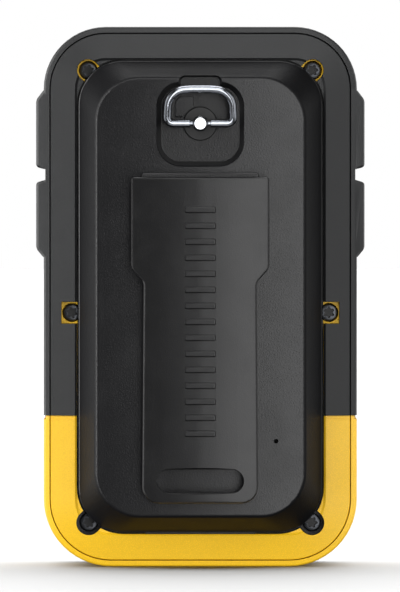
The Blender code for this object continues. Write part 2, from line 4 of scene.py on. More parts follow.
import bmesh
import bpy
from mathutils import Matrix, Vector

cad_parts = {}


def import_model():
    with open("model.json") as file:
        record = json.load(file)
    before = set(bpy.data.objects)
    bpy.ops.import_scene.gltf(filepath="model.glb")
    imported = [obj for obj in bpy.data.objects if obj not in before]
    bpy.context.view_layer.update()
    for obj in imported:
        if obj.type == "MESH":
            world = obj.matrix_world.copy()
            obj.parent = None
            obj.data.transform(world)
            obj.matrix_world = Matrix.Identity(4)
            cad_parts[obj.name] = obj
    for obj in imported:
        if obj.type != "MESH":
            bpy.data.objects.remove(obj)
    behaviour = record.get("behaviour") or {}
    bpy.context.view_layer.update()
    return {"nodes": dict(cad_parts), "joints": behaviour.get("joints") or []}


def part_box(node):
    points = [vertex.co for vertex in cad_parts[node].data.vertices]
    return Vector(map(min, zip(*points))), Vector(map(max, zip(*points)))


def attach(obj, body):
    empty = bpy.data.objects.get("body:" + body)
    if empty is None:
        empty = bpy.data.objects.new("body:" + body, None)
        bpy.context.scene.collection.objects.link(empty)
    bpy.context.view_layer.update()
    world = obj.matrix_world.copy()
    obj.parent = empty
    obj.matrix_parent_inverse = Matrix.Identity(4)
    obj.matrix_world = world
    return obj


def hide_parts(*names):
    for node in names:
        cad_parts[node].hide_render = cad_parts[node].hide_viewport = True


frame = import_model()

# Lengths are millimetres until a piece is made. The back of the unit faces +Y.
MM = 0.001
SMOOTH_ANGLE = math.radians(28)
TINY, NEAR = 1e-4, 1e-3          # closer than this is the same point, or the same level
CORNER_STEPS = 14                # steps in a quarter round
TURN_STEPS, FINE_STEPS = 48, 24  # steps in a full turn, and in a small hole's
SIDES = (("left", -1), ("right", 1))

# A cutting tool reaches a little past what it cuts, and a trimming one past the whole unit.
PAST = 1
OPEN_BACK = 12
PAST_SIDE, PAST_FRONT, PAST_BACK, PAST_FOOT, PAST_HEAD = 40, -30, 20, -5, 120


def node_box(node):
    lo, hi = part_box(node)
    return Vector(lo) / MM, Vector(hi) / MM


BODY_LO, BODY_HI = node_box("front_housing")
BAND_LO, BAND_HI = node_box("side_band")
CLIP_LO, CLIP_HI = node_box("belt_clip")
OVERLAY_LO, OVERLAY_HI = node_box("rear_overlay")
COVER_HI = node_box("battery_cover")[1]
REAR_FRONT = node_box("rear_housing")[0].y
JOINTS = {joint["name"]: joint for joint in frame["joints"]}

BODY_HALF = BODY_HI.x
LENGTH = BODY_HI.z
CORNER_TOP, CORNER_BOTTOM = 11.75, 12.7
LOBE_OUT = BAND_HI.x
GREY_FROM, YELLOW_TO = OVERLAY_LO.z, node_box("lower_band")[1].z
LIP_DROP, LIP_GAP = 0.4, 0.08    # the yellow lip that shows in the parting groove
LEDGE = OVERLAY_LO.y - 0.3       # the shelf inside the rear ring
RING_BACK = OVERLAY_HI.y         # the ring's highest line, beside the cover
COVER_HALF = COVER_HI.x
COVER_LOW, COVER_HIGH = 6.5, COVER_HI.z
COVER_CORNER = 8.5
SLOPE_WIDE = 3.2                 # from the cover's foot in to its face
FACE_OUTLINE = (COVER_HALF - SLOPE_WIDE, COVER_LOW + SLOPE_WIDE, COVER_HIGH - SLOPE_WIDE)
FACE_CORNER = 8.4
FACE_CROWN = COVER_HI.y
CROWN_RADIUS, CLIP_CROWN_RADIUS = 238.0, 95.0
CROWN_STRIPS = 13                # strips of 2 mm on each side of a crown
LATCH_Z = JOINTS["latch_turn"]["pos_m"][2] / MM
RING_AXIS_Y = JOINTS["ring_fold"]["pos_m"][1] / MM
SCREW_SPOTS = {"top": (21.2, 93.8), "middle": (24.3, 48.0), "bottom": (21.1, 8.3)}
KEY_LEVELS = {"lower": 66.5, "upper": 81.7}


# Mesh tools

def soften(bm, edges, width, segments=3):
    bmesh.ops.bevel(bm, geom=edges, offset=width, segments=segments, profile=0.5,
                    affect="EDGES", material=-1, clamp_overlap=True)


def edges_where(bm, test):
    return [e for e in bm.edges if all(test(v.co) for v in e.verts)]


def rounded_slab(half, low, high, radius_low, radius_high, y0, y1, steps=CORNER_STEPS):
    """A slab with round corners, square to Y. Gives the mesh and its face at y1."""
    bm = bmesh.new()
    outline = ((-half, low), (half, low), (half, high), (-half, high))
    bm.faces.new([bm.verts.new((x, y0, z)) for x, z in outline])
    for radius, level in ((radius_low, low), (radius_high, high)):
        corners = [v for v in bm.verts if abs(v.co.z - level) < TINY]
        bmesh.ops.bevel(bm, geom=corners, offset=radius, segments=steps, profile=0.5,
                        affect="VERTICES", material=-1)
    bm.faces.ensure_lookup_table()
    grown = bmesh.ops.extrude_face_region(bm, geom=[bm.faces[0]])["geom"]
    far = [g for g in grown if isinstance(g, bmesh.types.BMFace)][0]
    bmesh.ops.translate(bm, vec=(0, y1 - y0, 0), verts=far.verts[:])
    bmesh.ops.recalc_face_normals(bm, faces=bm.faces[:])
    return bm, far


def step_in(bm, face, width, rise):
    bmesh.ops.inset_individual(bm, faces=[face], thickness=width, depth=rise,
                               use_even_offset=True)


def body_slab(inset, y0, y1):
    return rounded_slab(BODY_HALF - inset, inset, LENGTH - inset,
                        CORNER_BOTTOM - inset, CORNER_TOP - inset, y0, y1)


def cover_slab(inset, y0, y1):
    corner = COVER_CORNER - inset
    return rounded_slab(COVER_HALF - inset, COVER_LOW + inset, COVER_HIGH - inset,
                        corner, corner, y0, y1)


def block(x0, x1, y0, y1, z0, z1, edge=0.0):
    bm = bmesh.new()
    bmesh.ops.create_cube(bm, size=1.0)
    bmesh.ops.scale(bm, vec=(x1 - x0, y1 - y0, z1 - z0), verts=bm.verts[:])
    middle = ((x0 + x1) / 2, (y0 + y1) / 2, (z0 + z1) / 2)
    bmesh.ops.translate(bm, vec=middle, verts=bm.verts[:])
    if edge:
        soften(bm, bm.edges[:], edge)
    return bm


def polygon_slab(points, y0, y1):
    """An (x, z) outline extruded along Y."""
    bm = bmesh.new()
    face = bm.faces.new([bm.verts.new((x, y0, z)) for x, z in points])
    grown = bmesh.ops.extrude_face_region(bm, geom=[face])["geom"]
    far = [g for g in grown if isinstance(g, bmesh.types.BMVert)]
    bmesh.ops.translate(bm, vec=(0, y1 - y0, 0), verts=far)
    bmesh.ops.recalc_face_normals(bm, faces=bm.faces[:])
    return bm


def turned(profile, x, z, steps=TURN_STEPS):
    """A (radius, y) profile turned about a line along Y; it starts and ends on that line."""
    bm = bmesh.new()
    verts = [bm.verts.new((radius, y, 0)) for radius, y in profile]
    line = [bm.edges.new(pair) for pair in zip(verts, verts[1:])]
    bmesh.ops.spin(bm, geom=verts + line, cent=(0, 0, 0), axis=(0, 1, 0),
                   angle=2 * math.pi, steps=steps, use_merge=True)
    bmesh.ops.remove_doubles(bm, verts=bm.verts[:], dist=TINY)
    bmesh.ops.translate(bm, vec=(x, 0, z), verts=bm.verts[:])
    bmesh.ops.recalc_face_normals(bm, faces=bm.faces[:])
    return bm


def drum(x, z, radius, y0, y1, steps=TURN_STEPS):
    return turned([(0, y0), (radius, y0), (radius, y1), (0, y1)], x, z, steps)


def span(sign, near, far):
    """Two distances from the middle, to one side, in rising order."""
    return sorted((sign * near, sign * far))


def all_below(level):
    """A tool that takes away everything below a height."""
    return block(-PAST_SIDE, PAST_SIDE, PAST_FRONT, PAST_BACK, PAST_FOOT, level)


def all_above(level):
    return block(-PAST_SIDE, PAST_SIDE, PAST_FRONT, PAST_BACK, level, PAST_HEAD)


def rear_face(bm):
    """The largest face that looks straight back."""
    return max(bm.faces, key=lambda f: f.calc_area() if f.normal.y > 0.99 else 0.0)


def as_object(name, bm):
    mesh = bpy.data.meshes.new(name)
    bm.to_mesh(mesh)
    bm.free()
    made = bpy.data.objects.new(name, mesh)
    bpy.context.scene.collection.objects.link(made)
    return made


def combine(bm, operation, *others):
    """Cut shapes out of a mesh, or add them to it, and give back the mesh."""
    for other in others:
        base, helper = as_object("base", bm), as_object("helper", other)
        step = base.modifiers.new("combine", "BOOLEAN")
        step.operation, step.solver, step.object = operation, "EXACT", helper
        shaped = base.evaluated_get(bpy.context.evaluated_depsgraph_get())
        bm = bmesh.new()
        bm.from_mesh(shaped.to_mesh())
        shaped.to_mesh_clear()
        for used in (base, helper):
            mesh = used.data
            bpy.data.objects.remove(used)
            bpy.data.meshes.remove(mesh)
    return bm


def cut(bm, *others):
    return combine(bm, "DIFFERENCE", *others)


def join(bm, *others):
    return combine(bm, "UNION", *others)


def together(shapes):
    """Gather shapes that don't touch each other into one mesh."""
    gathered = bmesh.new()
    for shape in shapes:
        mesh = bpy.data.meshes.new("gathered")
        shape.to_mesh(mesh)
        shape.free()
        gathered.from_mesh(mesh)
        bpy.data.meshes.remove(mesh)
    return gathered


def drums(spots, radius, y0, y1):
    return together(drum(x, z, radius, y0, y1) for x, z in spots)


def piece(name, bm, body, finish, *nodes):
    """Make a visible piece that rides on a body and stands for CAD nodes."""
    bmesh.ops.remove_doubles(bm, verts=bm.verts[:], dist=TINY)
    bmesh.ops.scale(bm, vec=(MM, MM, MM), verts=bm.verts[:])
    made = as_object(name, bm)
    made.data.shade_smooth()
    made.data.set_sharp_from_angle(angle=SMOOTH_ANGLE)
    made.data.materials.append(finish)
    even = made.modifiers.new("even_shading", "WEIGHTED_NORMAL")
    even.keep_sharp = True
    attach(made, body)
    if nodes:
        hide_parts(*nodes)
    return made


def second_finish(made, finish, test):
    """Give another finish to the faces whose middle, in millimetres, passes the test."""
    made.data.materials.append(finish)
    for face in made.data.polygons:
        if test(face.center / MM):
            face.material_index = 1


# Shader groups

def shader_group(name, inputs, outputs):
    tree = bpy.data.node_groups.new(name, "ShaderNodeTree")
    for label, kind, value in inputs:
        socket = tree.interface.new_socket(name=label, in_out="INPUT", socket_type=kind)
        if value is not None:
            socket.default_value = value
    for label, kind in outputs:
        tree.interface.new_socket(name=label, in_out="OUTPUT", socket_type=kind)
    return tree, tree.nodes.new("NodeGroupInput"), tree.nodes.new("NodeGroupOutput")


def texture(tree, kind, scale, vector, **settings):
    node = tree.nodes.new(kind)
    for key, value in settings.items():
        if key in node.inputs:
            node.inputs[key].default_value = value
        else:
            setattr(node, key, value)
    if isinstance(scale, (int, float)):
        node.inputs["Scale"].default_value = scale
    else:
        tree.links.new(scale, node.inputs["Scale"])
    tree.links.new(vector, node.inputs["Vector"])
    return node


def maths(tree, operation, first, second, clamp=False):
    node = tree.nodes.new("ShaderNodeMath")
    node.operation, node.use_clamp = operation, clamp
    for socket, value in zip(node.inputs, (first, second)):
        if isinstance(value, (int, float)):
            socket.default_value = value
        else:
            tree.links.new(value, socket)
    return node.outputs[0]


def remap(tree, value, low, high, out_low=0.0, out_high=1.0):
    node = tree.nodes.new("ShaderNodeMapRange")
    tree.links.new(value, node.inputs["Value"])
    for label, number in (("From Min", low), ("From Max", high),
                          ("To Min", out_low), ("To Max", out_high)):
        node.inputs[label].default_value = number
    return node.outputs["Result"]


# Mix keeps one set of A, B and Result sockets for each data type, so colours are found by kind.
def mix_colours(tree, factor, first, second):
    node = tree.nodes.new("ShaderNodeMix")
    node.data_type = "RGBA"
    sockets = [node.inputs["Factor"]] + [s for s in node.inputs if s.type == "RGBA"]
    for socket, value in zip(sockets, (factor, first, second)):
        if isinstance(value, bpy.types.NodeSocket):
            tree.links.new(value, socket)
        else:
            socket.default_value = value
    return next(s for s in node.outputs if s.type == "RGBA")


def grain_group():
    """Moulded leather grain: small pebbles with soft valleys, and finer roughness on them. The
    valley mask is used to paint shade into the valleys.
    """
    tree, inside, outside = shader_group(
        "moulded_grain",
        (("Vector", "NodeSocketVector", None), ("Scale", "NodeSocketFloat", 1800.0)),
        (("Height", "NodeSocketFloat"), ("Valley", "NodeSocketFloat")))
    vector, scale = inside.outputs["Vector"], inside.outputs["Scale"]
    pebbles = texture(tree, "ShaderNodeTexVoronoi", scale, vector,
                      feature="DISTANCE_TO_EDGE", Randomness=1.0)
    fine = texture(tree, "ShaderNodeTexNoise", maths(tree, "MULTIPLY", scale, 2.6), vector,
                   Detail=3.0, Roughness=0.6)
    raised = remap(tree, pebbles.outputs["Distance"], 0.0, 0.28)
    height = maths(tree, "ADD", maths(tree, "MULTIPLY", raised, 0.7),
                   maths(tree, "MULTIPLY", fine.outputs["Fac"], 0.5))
    tree.links.new(height, outside.inputs["Height"])
    tree.links.new(maths(tree, "SUBTRACT", 1.0, raised), outside.inputs["Valley"])
    return tree


def handling_group():
    """Slow changes of tone, fine specks of dust and faint rubbed patches."""
    tree, inside, outside = shader_group(
        "handling_marks",
        (("Vector", "NodeSocketVector", None), ("Dust", "NodeSocketFloat", 0.1),
         ("Rubbed", "NodeSocketFloat", 0.1)),
        (("Tone", "NodeSocketFloat"), ("Dust Mask", "NodeSocketFloat"),
         ("Roughness", "NodeSocketFloat")))
    vector = inside.outputs["Vector"]
    slow = texture(tree, "ShaderNodeTexNoise", 55.0, vector, Detail=4.0, Roughness=0.55)
    specks = texture(tree, "ShaderNodeTexNoise", 2600.0, vector, Detail=2.0, Roughness=0.5)
    patches = texture(tree, "ShaderNodeTexNoise", 160.0, vector, Detail=6.0, Roughness=0.65)
    tone = remap(tree, slow.outputs["Fac"], 0.3, 0.7, -1.0, 1.0)
    dust = maths(tree, "MULTIPLY", remap(tree, specks.outputs["Fac"], 0.62, 0.8),
                 inside.outputs["Dust"], clamp=True)
    rubbed = maths(tree, "MULTIPLY", remap(tree, patches.outputs["Fac"], 0.45, 0.75),
                   inside.outputs["Rubbed"])
    tree.links.new(tone, outside.inputs["Tone"])
    tree.links.new(dust, outside.inputs["Dust Mask"])
    tree.links.new(rubbed, outside.inputs["Roughness"])
    return tree


GRAIN = grain_group()
HANDLING = handling_group()


# Materials

def linear(value):
    value /= 255.0
    return value / 12.92 if value <= 0.04045 else ((value + 0.055) / 1.055) ** 2.4


def shade(red, green, blue):
    return (linear(red), linear(green), linear(blue), 1.0)


def darker(colour, part):
    return (*(c * part for c in colour[:3]), 1.0)


def moulded(name, colour, roughness, grain=1800.0, depth=0.03, dust=0.1, rubbed=0.08,
            metallic=0.0, tone=0.12, bump=1.0):
    """A surface with moulded grain or fine texture, painted shade in the grain's valleys, dust
    and slight handling marks.
    """
    made = bpy.data.materials.new(name)
    made.use_nodes = True
    tree = made.node_tree
    shader = tree.nodes["Principled BSDF"]
    place = tree.nodes.new("ShaderNodeTexCoord").outputs["Object"]
    pebbles = tree.nodes.new("ShaderNodeGroup")
    pebbles.node_tree = GRAIN
    pebbles.inputs["Scale"].default_value = grain
    marks = tree.nodes.new("ShaderNodeGroup")
    marks.node_tree = HANDLING
    marks.inputs["Dust"].default_value = dust
    marks.inputs["Rubbed"].default_value = rubbed
    for group in (pebbles, marks):
        tree.links.new(place, group.inputs["Vector"])
    toned = mix_colours(tree, remap(tree, marks.outputs["Tone"], -1.0, 1.0),
                        darker(colour, 1.0 - tone), darker(colour, 1.0 + tone))
    # Painted shade: the base colour is darkened in the grain's valleys, down to six tenths.
    painted_valley_shade = mix_colours(tree, maths(tree, "MULTIPLY", pebbles.outputs["Valley"], 0.35),
                          toned, darker(colour, 0.6))
    dusty = mix_colours(tree, marks.outputs["Dust Mask"], painted_valley_shade, shade(165, 162, 155))
    tree.links.new(dusty, shader.inputs["Base Color"])
    tree.links.new(maths(tree, "ADD", marks.outputs["Roughness"], roughness, clamp=True),
                   shader.inputs["Roughness"])
    shader.inputs["Metallic"].default_value = metallic
    relief = tree.nodes.new("ShaderNodeBump")
    relief.inputs["Distance"].default_value = depth * MM
    relief.inputs["Strength"].default_value = bump
    tree.links.new(pebbles.outputs["Height"], relief.inputs["Height"])
    tree.links.new(relief.outputs["Normal"], shader.inputs["Normal"])
    return made


COVER_GREY = moulded("cover_grey", shade(19, 19, 21), 0.28, grain=2100.0, depth=0.011,
                     dust=0.02, tone=0.08, rubbed=0.05)
SLOPE_GREY = moulded("slope_grey", shade(19, 19, 21), 0.42, grain=2100.0, depth=0.011,
                     dust=0.02, tone=0.08, rubbed=0.05)
SLOPE_GREY.node_tree.nodes["Principled BSDF"].inputs["Specular IOR Level"].default_value = 0.25
CLIP_GREY = moulded("clip_grey", shade(20, 20, 21), 0.28, grain=2600.0, depth=0.006,
                    dust=0.02, tone=0.08, rubbed=0.05)
RING_GREY = moulded("ring_grey", shade(30, 31, 32), 0.36, grain=2600.0, depth=0.006,
                    dust=0.02, tone=0.08, rubbed=0.05)
CASE_YELLOW = moulded("case_yellow", shade(240, 190, 20), 0.42, grain=3000.0, depth=0.006,
                      tone=0.03, dust=0.02)
CASE_BLACK = moulded("case_black", shade(26, 26, 28), 0.42, grain=2600.0, depth=0.012)
KEY_BLACK = moulded("key_black", shade(40, 40, 42), 0.6, grain=3000.0, depth=0.01)
SEAL_BLACK = moulded("seal_black", shade(24, 24, 25), 0.75, grain=2000.0, depth=0.01)
SCREW_STEEL = moulded("screw_steel", shade(84, 86, 90), 0.34, grain=2400.0, depth=0.003,
                      metallic=1.0, dust=0.0)
# Painted shade: near black for the inside of each screw's drive recess, in place of the steel.
DRIVE_RECESS_SHADE = moulded("drive_recess_shade", shade(22, 23, 25), 0.4, grain=2400.0, depth=0.003,
                       dust=0.0)
SPINDLE_STEEL = moulded("spindle_steel", shade(214, 216, 220), 0.2, grain=2400.0, depth=0.001,
                        metallic=1.0, dust=0.0, tone=0.03)
CHROME = moulded("ring_chrome", shade(176, 180, 188), 0.12, grain=900.0, depth=0.001,
                 metallic=1.0, dust=0.0, rubbed=0.06, tone=0.03)
CONTACT_STEEL = moulded("contact_steel", shade(205, 204, 198), 0.25, grain=1800.0, depth=0.002,
                        metallic=1.0, dust=0.0)
CERAMIC = moulded("antenna_ceramic", shade(196, 188, 170), 0.55, grain=1500.0, depth=0.004)
FILM = moulded("vent_film", shade(14, 14, 15), 0.7, grain=3000.0, depth=0.004)
DISC_BLACK = moulded("disc_black", shade(10, 10, 11), 0.5, grain=2400.0, depth=0.004, dust=0.0)
RIBBON = moulded("ribbon_film", shade(196, 122, 44), 0.35, grain=3000.0, depth=0.002)


# Case

# Outlines are half width, low, high, and the lower and upper corner radius.
WINDOW_SEAT, WINDOW_SEAT_DEPTH = (22.8, 13.7, 90.3, 4.3, 4.3), 1.8
SCREEN_HOLE, SCREEN_HOLE_DEPTH = (19.0, 22.0, 82.0, 2, 2), 3
FRONT_DEPTH, FRONT_EDGE = 4.9, 2.2
FRONT_WALL, FRONT_FLOOR = 2.0, 2.6


def front_housing():
    face_y = BODY_LO.y
    bm, face = body_slab(0.0, face_y + FRONT_DEPTH, face_y)
    soften(bm, face.edges[:], FRONT_EDGE, 6)
    bm = cut(bm, rounded_slab(*WINDOW_SEAT, face_y + WINDOW_SEAT_DEPTH, face_y - PAST)[0],
             rounded_slab(*SCREEN_HOLE, face_y + SCREEN_HOLE_DEPTH, face_y)[0],
             body_slab(FRONT_WALL, face_y + FRONT_FLOOR, 0.0)[0])
    piece("front_shell", bm, "case", CASE_BLACK, "front_housing")


BAND_SLOPE = 0.25                # how steeply the rear faces fall towards the sides
BAND_RIM = 1.2                   # how far the sloping rim reaches in
RIM_DROP = BAND_RIM * BAND_SLOPE
BAND_EDGE, BAND_WALL = 0.4, 1.1


def band_solid(inset):
    """The band's outer form, with a rear face that carries on the slope of the ring."""
    rim = BAND_HI.y - inset - RIM_DROP
    bm, face = body_slab(inset, BAND_LO.y, rim)
    step_in(bm, face, BAND_RIM, RIM_DROP)
    soften(bm, edges_where(bm, lambda co: abs(co.y - rim) < NEAR), BAND_EDGE, 4)
    return bm


# Each lobe is its lower foot and crest, then its upper crest and foot.
LOBES = ((58.3, 60.1, 72.6, 73.05), (75.1, 75.55, 88.2, 90.2))
NOTCH, NOTCH_DEPTH = (LOBES[0][-1], LOBES[1][0]), 0.35
LOBE_ROOT, LOBE_SKIN = 2.2, 0.05
LOBE_FRONT, LOBE_EDGE = 0.6, 0.5


def lobe(sign, levels):
    """One key lobe, with a ramp at its free end and a step at the notch."""
    low_foot, low_crest, high_crest, high_foot = levels
    root, skin = BODY_HALF - LOBE_ROOT, BODY_HALF - LOBE_SKIN
    points = [(root, low_foot), (skin, low_foot), (LOBE_OUT, low_crest),
              (LOBE_OUT, high_crest), (skin, high_foot), (root, high_foot)]
    bm = polygon_slab([(sign * x, z) for x, z in points], BAND_LO.y + LOBE_FRONT,
                      BAND_HI.y - RIM_DROP)
    for vert in bm.verts:
        if vert.co.y > 0:
            vert.co.y -= BAND_SLOPE * (abs(vert.co.x) - BODY_HALF)
    outside = edges_where(bm, lambda co: abs(co.x) > BODY_HALF - 2 * LOBE_SKIN)
    soften(bm, outside, LOBE_EDGE, 4)
    return bm


KEY_FRONT, KEY_BACK, KEY_HALF = -10.0, -2.5, 4.3
KEY_GAP = 0.25
KEY_POCKET, KEY_POCKET_CORNER = (26, 34), 0.9


def side_band():
    bm = band_solid(0.0)
    front, back = BAND_LO.y - PAST, BAND_HI.y + PAST
    reach = KEY_HALF + KEY_GAP
    for _, sign in SIDES:
        for levels in LOBES:
            bm = join(bm, lobe(sign, levels))
        bm = cut(bm, block(*span(sign, BODY_HALF - NOTCH_DEPTH, LOBE_OUT + PAST), front, back,
                           *NOTCH))
        for level in KEY_LEVELS.values():
            bm = cut(bm, block(*span(sign, *KEY_POCKET), KEY_FRONT - KEY_GAP,
                               KEY_BACK + KEY_GAP, level - reach, level + reach,
                               KEY_POCKET_CORNER))
    bm = cut(bm, body_slab(BAND_WALL, front, back)[0], all_below(GREY_FROM))
    piece("band_upper", bm, "case", RING_GREY, "side_band")


def lower_band():
    """The yellow band, with a lower lip that shows in the parting groove."""
    outer = cut(band_solid(0.0), all_above(YELLOW_TO))
    lip = cut(band_solid(LIP_DROP), all_above(GREY_FROM - LIP_GAP))
    inner = body_slab(BAND_WALL, BAND_LO.y - PAST, BAND_HI.y + PAST)[0]
    piece("band_lower", cut(join(outer, lip), inner), "case", CASE_YELLOW, "lower_band")


RING_INSET, RING_FOOT, RING_EDGE = 1.25, 4.4, 0.3
RING_WIDE = 4.35                 # across the ring's slope
RING_LIP, RING_LIP_DROP = 0.45, 0.35
RING_ROOT = 0.4                  # how far the ring sinks into the rear plate
COVER_CLEARANCE = 0.35


def ring_solid(drop):
    """The sloping frame round the cover, before it is split into grey and yellow."""
    bm, face = body_slab(RING_INSET, LEDGE - RING_ROOT, RING_FOOT - drop)
    soften(bm, face.edges[:], RING_EDGE)
    top = rear_face(bm)
    step_in(bm, top, RING_WIDE, RING_BACK - RING_FOOT)
    step_in(bm, top, RING_LIP, -RING_LIP_DROP)
    return cut(bm, cover_slab(-COVER_CLEARANCE, LEDGE - 2 * PAST, OPEN_BACK)[0])


POCKET_RUN, POCKET_STEPS = 6.0, 24
SIDE_POCKET_NEAR, SIDE_POCKET_FAR = 22.5, 24.2


def pocket(x, z, radius, y0, y1):
    """A screw pocket: square at the middle screws, else round and open towards the cover."""
    side = math.copysign(1, x)
    if z == SCREW_SPOTS["middle"][1]:
        return block(*span(side, SIDE_POCKET_NEAR, SIDE_POCKET_FAR + radius), y0, y1,
                     z - radius, z + radius)
    inward = math.atan2(math.copysign(1, LENGTH / 2 - z), -side)
    turns = [inward + math.pi * (0.5 + i / POCKET_STEPS) for i in range(POCKET_STEPS + 1)]
    points = [(x + radius * math.cos(turn), z + radius * math.sin(turn)) for turn in turns]
    run_x, run_z = POCKET_RUN * math.cos(inward), POCKET_RUN * math.sin(inward)
    points += [(points[-1][0] + run_x, points[-1][1] + run_z),
               (points[0][0] + run_x, points[0][1] + run_z)]
    return polygon_slab(points, y0, y1)


def screw_spots():
    for level, (x, z) in SCREW_SPOTS.items():
        for side, sign in SIDES:
            yield f"{level}_{side}", sign * x, z


UPPER_SPOTS = [(x, z) for _, x, z in screw_spots() if z > GREY_FROM]
LOWER_SPOTS = [(x, z) for _, x, z in screw_spots() if z < GREY_FROM]
OVERLAY_POCKET, PAD, LOWER_POCKET = 2.1, 2.02, 2.35


def rear_overlay():
    bm = cut(ring_solid(0.0), all_below(GREY_FROM),
             block(-PAST_SIDE, PAST_SIDE, PAST_FRONT, OVERLAY_LO.y, PAST_FOOT, PAST_HEAD))
    for x, z in UPPER_SPOTS:
        bm = cut(bm, pocket(x, z, OVERLAY_POCKET, LEDGE - PAST, OPEN_BACK))
    piece("overlay_ring", bm, "case", RING_GREY, "rear_overlay")


REAR_INSET, REAR_INNER, PLATE_FRONT = 1.4, 3.2, 1.5
BOSS_RADIUS, BOSS_BACK, BOSS_START = 2.7, 2.5, 0.05
PAD_BACK, PAD_CLEARANCE = 3.7, 0.25
LOWER_POCKET_FLOOR = 2.2
HEAD_HOLE, HEAD_SEAT, SHANK_HOLE, SHANK_RUN = 1.82, 1.7, 1.4, (-12, 3)
# Boxes are x0, x1, y0, y1, z0, z1.
CELL_BAY_WALLS, CELL_BAY = (-16.9, 16.9, -7.0, 2.5, 7.2, 68.2), (-15.3, 15.3, -5.8, 6, 9.0, 66.5)
LATCH_BAY_WALLS, LATCH_BAY = (-8.9, 8.9, -2.5, 2.5, 75.4, 92.2), (-7.5, 7.5, -1.2, 6, 76.8, 90.8)
SOCKET_OPENING = (11.5, 18.9, 0.5, 6, 75.9, 80.1)
TONGUE_SLOT = (-10.9, 10.9, LEDGE, 4.9, 5.2, 7.0)
GASKET_OUTER, GASKET_INNER, GASKET_FLOOR, GASKET_TOP = 1.5, 2.9, 2.3, 3.19
STEM_HOLE, STEM_FRONT, STEM_BACK, STEM_HALF = (25.5, 29.5), -11, -7.1, 1.8


def rear_housing():
    bm = cut(body_slab(REAR_INSET, REAR_FRONT, LEDGE)[0],
             body_slab(REAR_INNER, REAR_FRONT - PAST, PLATE_FRONT)[0])
    rim = cut(ring_solid(0.0), all_above(YELLOW_TO))
    lip = cut(ring_solid(LIP_DROP), all_above(GREY_FROM - LIP_GAP))
    bm = join(bm, join(rim, lip), block(*CELL_BAY_WALLS), block(*LATCH_BAY_WALLS))
    spots = [(x, z) for _, x, z in screw_spots()]
    pads = cut(together(pocket(x, z, PAD, BOSS_BACK, PAD_BACK) for x, z in UPPER_SPOTS),
               cover_slab(-PAD_CLEARANCE, 0, OPEN_BACK)[0])
    bm = join(bm, drums(spots, BOSS_RADIUS, REAR_FRONT + BOSS_START, BOSS_BACK), pads)
    bm = cut(bm, together(pocket(x, z, LOWER_POCKET, LOWER_POCKET_FLOOR, OPEN_BACK)
                          for x, z in LOWER_SPOTS),
             drums(spots, HEAD_HOLE, HEAD_SEAT, OPEN_BACK), drums(spots, SHANK_HOLE, *SHANK_RUN))
    groove = cut(cover_slab(GASKET_OUTER, GASKET_FLOOR, GASKET_TOP)[0],
                 cover_slab(GASKET_INNER, GASKET_FLOOR - PAST, GASKET_TOP + PAST)[0])
    bm = cut(bm, block(*CELL_BAY), block(*LATCH_BAY), block(*SOCKET_OPENING), groove,
             block(*TONGUE_SLOT))
    for _, sign in SIDES:
        for level in KEY_LEVELS.values():
            bm = cut(bm, block(*span(sign, *STEM_HOLE), STEM_FRONT, STEM_BACK,
                               level - STEM_HALF, level + STEM_HALF))
    shell = piece("rear_shell", bm, "case", CASE_YELLOW, "rear_housing")
    # The yellow shell is painted black as shade under the cover, in the cover's gap and in the
    # lower screw pockets.
    second_finish(shell, CASE_BLACK, painted_shade_under_cover)


def outside_by(place, half, low, high, corner):
    """How far a place is outside an outline with round corners; below zero inside."""
    across = max(abs(place.x) - (half - corner), 0.0)
    along = max(abs(place.z - (low + high) / 2) - ((high - low) / 2 - corner), 0.0)
    return math.hypot(across, along) - corner


PAINTED_SHADE_MARGIN = 0.4               # how far the painted shade runs past an outline
POCKET_PAINTED_SHADE = (1.0, 4.6)        # the levels where a lower screw pocket is painted black as shade
CASE_INSIDE = -7.5
WALL_LEVEL = LEDGE + 0.2         # the yellow wall below the cover starts here


def painted_shade_under_cover(place):
    """True where black is painted as shade: under the battery cover and in its gap, in the hollow
    case and in the lower screw pockets.
    """
    x, z = SCREW_SPOTS["bottom"]
    to_screw = math.hypot(abs(place.x) - x, place.z - z)
    if to_screw < LOWER_POCKET + PAINTED_SHADE_MARGIN and POCKET_PAINTED_SHADE[0] < place.y < POCKET_PAINTED_SHADE[1]:
        return True
    lower_wall = place.z < COVER_LOW and place.y > WALL_LEVEL
    beyond = outside_by(place, COVER_HALF, COVER_LOW, COVER_HIGH, COVER_CORNER)
    return beyond < PAINTED_SHADE_MARGIN and place.y > CASE_INSIDE and not lower_wall


SCREW_TIP, SHANK, UNDER_HEAD, HEAD_TOP, HEAD_RADIUS = -13.2, 1.1, 2.0, 3.0, 1.7
STAR_TIP, STAR_DEPTH = 1.12, 0.75
STAR_MEAN, STAR_WAVE, STAR_LOBES = 0.84, 0.16, 6
FIRST_TURN, TURN_EACH = 5, 13    # degrees, so that no two screws stop alike


def star_driver(x, z, degrees):
    """The tool for a screw's six-lobed drive."""
    star = bmesh.new()
    bmesh.ops.create_circle(star, cap_ends=True, radius=STAR_TIP, segments=TURN_STEPS,
                            matrix=Matrix.Rotation(math.radians(90), 4, "X"))
    for vert in star.verts:
        wave = math.cos(STAR_LOBES * math.atan2(vert.co.z, vert.co.x))
        vert.co *= STAR_MEAN + STAR_WAVE * wave
    grown = bmesh.ops.extrude_face_region(star, geom=star.faces[:])["geom"]
    raised = [g for g in grown if isinstance(g, bmesh.types.BMVert)]
    bmesh.ops.translate(star, vec=(0, 2, 0), verts=raised)
    bmesh.ops.rotate(star, cent=(0, 0, 0), verts=star.verts[:],
                     matrix=Matrix.Rotation(math.radians(degrees), 3, "Y"))
    bmesh.ops.translate(star, vec=(x, HEAD_TOP - STAR_DEPTH, z), verts=star.verts[:])
    bmesh.ops.recalc_face_normals(star, faces=star.faces[:])
    return star


